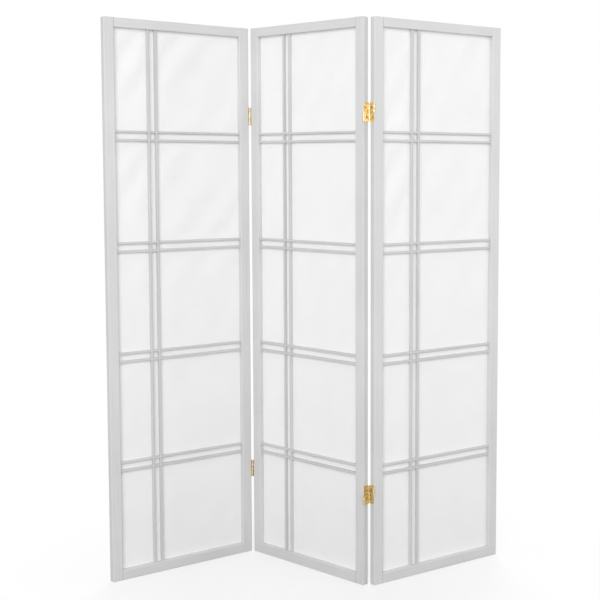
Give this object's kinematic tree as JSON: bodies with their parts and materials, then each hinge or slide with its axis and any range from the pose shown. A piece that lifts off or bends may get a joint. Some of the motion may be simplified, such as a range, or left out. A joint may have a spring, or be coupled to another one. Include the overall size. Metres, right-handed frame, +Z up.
{
  "type": "folding shoji screen",
  "caption": "Free-standing folding screen: white wooden frames with an offset paired lattice over paper, joined by double-acting brass hinges.",
  "frame": {"origin": "middle of the centre panel's foot, on the floor", "axes": "+Z up; the centre panel runs along X and its lattice side faces -Y"},
  "size_m": [0.6678, 0.8795, 1.524],
  "materials": {
    "frame_wood": "white satin paint",
    "lattice_wood": "white satin paint",
    "bead_wood": "white satin paint",
    "shoji_paper": "matt fibrous paper",
    "hinge_brass": "brass plated",
    "pin_brass": "brass plated",
    "screw_brass": "brass plated"
  },
  "bodies": {
    "centre_panel": {"centre_stile_left": "frame_wood", "centre_stile_right": "frame_wood", "centre_rail_top": "frame_wood", "centre_rail_bottom": "frame_wood", "centre_uprights": "lattice_wood", "centre_cross_bars": "lattice_wood", "centre_paper": "shoji_paper", "centre_beads": "bead_wood", "left_upper_inner_leaf": "hinge_brass", "left_upper_low_link": "hinge_brass", "left_lower_inner_leaf": "hinge_brass", "left_lower_low_link": "hinge_brass", "right_upper_inner_leaf": "hinge_brass", "right_upper_low_link": "hinge_brass", "right_lower_inner_leaf": "hinge_brass", "right_lower_low_link": "hinge_brass", "centre_hinge_pins": "pin_brass", "centre_hinge_screws": "screw_brass"},
    "left_panel": {"left_stile_left": "frame_wood", "left_stile_right": "frame_wood", "left_rail_top": "frame_wood", "left_rail_bottom": "frame_wood", "left_uprights": "lattice_wood", "left_cross_bars": "lattice_wood", "left_paper": "shoji_paper", "left_beads": "bead_wood", "left_upper_outer_leaf": "hinge_brass", "left_upper_high_link": "hinge_brass", "left_lower_outer_leaf": "hinge_brass", "left_lower_high_link": "hinge_brass", "left_hinge_pins": "pin_brass", "left_hinge_screws": "screw_brass"},
    "right_panel": {"right_stile_left": "frame_wood", "right_stile_right": "frame_wood", "right_rail_top": "frame_wood", "right_rail_bottom": "frame_wood", "right_uprights": "lattice_wood", "right_cross_bars": "lattice_wood", "right_paper": "shoji_paper", "right_beads": "bead_wood", "right_upper_outer_leaf": "hinge_brass", "right_upper_high_link": "hinge_brass", "right_lower_outer_leaf": "hinge_brass", "right_lower_high_link": "hinge_brass", "right_hinge_pins": "pin_brass", "right_hinge_screws": "screw_brass"}
  },
  "joints": [
    {"name": "left_fold", "type": "hinge", "parent": "centre_panel", "child": "left_panel", "pos_m": [-0.221, -0.011, 0.762], "axis": [0, 0, 1], "range_deg": [-78.5, 101.5]},
    {"name": "right_fold", "type": "hinge", "parent": "centre_panel", "child": "right_panel", "pos_m": [0.221, 0.011, 0.762], "axis": [0, 0, 1], "range_deg": [-77, 103]}
  ]
}
